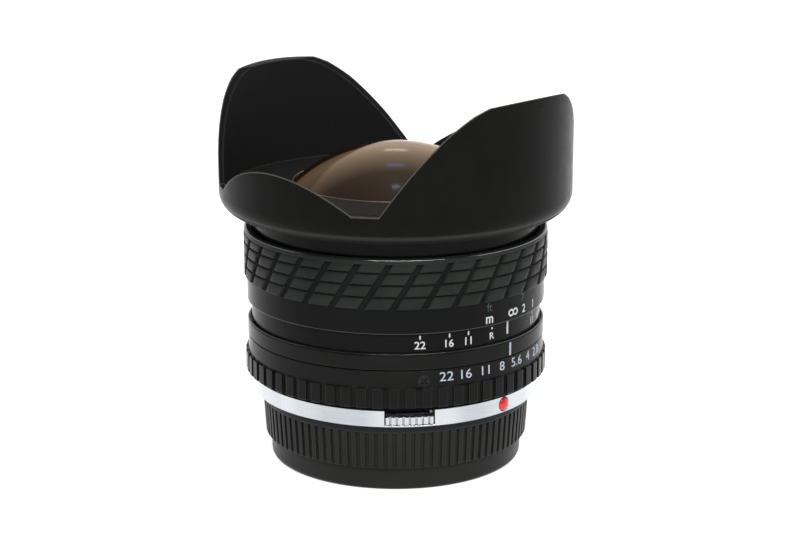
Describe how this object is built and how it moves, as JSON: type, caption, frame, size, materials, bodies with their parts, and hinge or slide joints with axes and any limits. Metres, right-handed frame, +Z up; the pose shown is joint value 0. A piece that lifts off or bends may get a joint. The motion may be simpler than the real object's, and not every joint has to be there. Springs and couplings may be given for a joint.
{
  "type": "fisheye camera lens",
  "caption": "Manual-focus fisheye camera lens with bulging front glass, petal hood, tread-pattern focus ring, ribbed aperture ring, bayonet mount and ribbed rear cap.",
  "frame": {"origin": "centre of the foot of the rear cap, where the lens stands on a table", "axes": "+Z up the optical axis towards the subject; the index mark and the red bead face -Y; +X is to the right of the index mark seen from outside"},
  "size_m": [0.0734, 0.0734, 0.0803],
  "materials": {
    "cap_plastic": "satin",
    "mount_chrome": "satin",
    "bead_red": "gloss",
    "screw_steel": "satin",
    "inner_black": "matte",
    "barrel_paint": "satin",
    "key_brass": "satin",
    "button_chrome": "satin",
    "grip_rubber": "matte",
    "hood_paint": "satin",
    "ring_grey": "satin",
    "front_coated": "polished",
    "inner_glass": "polished",
    "blade_steel": "satin"
  },
  "bodies": {
    "barrel": {"rear_barrel": "barrel_paint", "mount_ring": "mount_chrome", "alignment_bead": "bead_red", "mount_screws": "screw_steel", "ring_washer": "inner_black", "rear_mask": "inner_black", "gel_frame": "screw_steel", "depth_ring": "barrel_paint", "guide_keys": "key_brass", "click_ball": "screw_steel"},
    "focus_ring": {"focus_ring": "barrel_paint", "focus_grip": "grip_rubber", "stop_screws": "screw_steel"},
    "optics": {"optical_barrel": "barrel_paint", "hood": "hood_paint", "front_ring": "ring_grey", "front_glass": "front_coated", "second_glass": "inner_glass", "second_ring": "inner_black", "front_cell": "inner_black", "third_glass": "inner_glass", "third_ring": "inner_black", "iris_housing": "inner_black", "iris_cover": "inner_black", "rear_cell": "inner_black", "fourth_glass": "inner_glass", "fifth_glass": "inner_glass", "rear_spacer": "inner_black", "sixth_glass": "inner_glass", "thin_spacer": "inner_black", "rear_glass": "inner_glass", "rear_ring": "inner_black"},
    "aperture_ring": {"aperture_ring": "barrel_paint", "aperture_screw": "inner_black"},
    "iris_drive": {"iris_drive": "screw_steel"},
    "release_button": {"release_button": "button_chrome"},
    "preview_button": {"preview_button": "button_chrome"},
    "lock_pin": {"lock_pin": "screw_steel"},
    "rear_cap": {"rear_cap": "cap_plastic"},
    "iris_blade_1": {"iris_blade_1": "blade_steel"},
    "iris_blade_2": {"iris_blade_2": "blade_steel"},
    "iris_blade_3": {"iris_blade_3": "blade_steel"},
    "iris_blade_4": {"iris_blade_4": "blade_steel"},
    "iris_blade_5": {"iris_blade_5": "blade_steel"},
    "iris_blade_6": {"iris_blade_6": "blade_steel"},
    "iris_blade_7": {"iris_blade_7": "blade_steel"}
  },
  "joints": [
    {"name": "focus_turn", "type": "hinge", "parent": "barrel", "child": "focus_ring", "pos_m": [0, 0, 0.042], "axis": [0, 0, 1], "range_deg": [-135, 0]},
    {"name": "front_slide", "type": "slide", "parent": "barrel", "child": "optics", "axis": [0, 0, 1], "range_m": [0, 0.0021]},
    {"name": "aperture_turn", "type": "hinge", "parent": "barrel", "child": "aperture_ring", "pos_m": [0, 0, 0.023], "axis": [0, 0, 1], "range_deg": [-21, 29.4]},
    {"name": "iris_drive_turn", "type": "hinge", "parent": "optics", "child": "iris_drive", "pos_m": [0, 0, 0.035], "axis": [0, 0, 1], "range_deg": [-2.2, 3]},
    {"name": "blade_1_swing", "type": "hinge", "parent": "optics", "child": "iris_blade_1", "pos_m": [0.0142, 0, 0.0335], "axis": [0, 0, 1], "range_deg": [-10.6, 14.8]},
    {"name": "blade_2_swing", "type": "hinge", "parent": "optics", "child": "iris_blade_2", "pos_m": [0.00885, 0.0111, 0.0335], "axis": [0, 0, 1], "range_deg": [-10.6, 14.8]},
    {"name": "blade_3_swing", "type": "hinge", "parent": "optics", "child": "iris_blade_3", "pos_m": [-0.00316, 0.01384, 0.0335], "axis": [0, 0, 1], "range_deg": [-10.6, 14.8]},
    {"name": "blade_4_swing", "type": "hinge", "parent": "optics", "child": "iris_blade_4", "pos_m": [-0.01279, 0.00616, 0.0335], "axis": [0, 0, 1], "range_deg": [-10.6, 14.8]},
    {"name": "blade_5_swing", "type": "hinge", "parent": "optics", "child": "iris_blade_5", "pos_m": [-0.01279, -0.00616, 0.0335], "axis": [0, 0, 1], "range_deg": [-10.6, 14.8]},
    {"name": "blade_6_swing", "type": "hinge", "parent": "optics", "child": "iris_blade_6", "pos_m": [-0.00316, -0.01384, 0.0335], "axis": [0, 0, 1], "range_deg": [-10.6, 14.8]},
    {"name": "blade_7_swing", "type": "hinge", "parent": "optics", "child": "iris_blade_7", "pos_m": [0.00885, -0.0111, 0.0335], "axis": [0, 0, 1], "range_deg": [-10.6, 14.8]},
    {"name": "release_press", "type": "slide", "parent": "barrel", "child": "release_button", "axis": [0.6691, 0.7431, 0], "range_m": [0, 0.0014], "stiffness_N_per_m": 300},
    {"name": "lock_pin_slide", "type": "slide", "parent": "barrel", "child": "lock_pin", "axis": [0, 0, 1], "range_m": [0, 0.0014]},
    {"name": "preview_press", "type": "slide", "parent": "barrel", "child": "preview_button", "axis": [-0.6691, 0.7431, 0], "range_m": [0, 0.0014], "stiffness_N_per_m": 300},
    {"name": "cap_turn", "type": "hinge", "parent": "barrel", "child": "rear_cap", "pos_m": [0, 0, 0.007], "axis": [0, 0, 1], "range_deg": [0, 60]}
  ],
  "couplings": [
    {"joint": "front_slide", "follows": "focus_turn", "m_per_rad": -0.000891},
    {"joint": "iris_drive_turn", "follows": "aperture_turn", "ratio": 0.097},
    {"joint": "lock_pin_slide", "follows": "release_press", "ratio": 1},
    {"joint": "blade_1_swing", "follows": "aperture_turn", "ratio": 0.502},
    {"joint": "blade_2_swing", "follows": "aperture_turn", "ratio": 0.502},
    {"joint": "blade_3_swing", "follows": "aperture_turn", "ratio": 0.502},
    {"joint": "blade_4_swing", "follows": "aperture_turn", "ratio": 0.502},
    {"joint": "blade_5_swing", "follows": "aperture_turn", "ratio": 0.502},
    {"joint": "blade_6_swing", "follows": "aperture_turn", "ratio": 0.502},
    {"joint": "blade_7_swing", "follows": "aperture_turn", "ratio": 0.502}
  ]
}
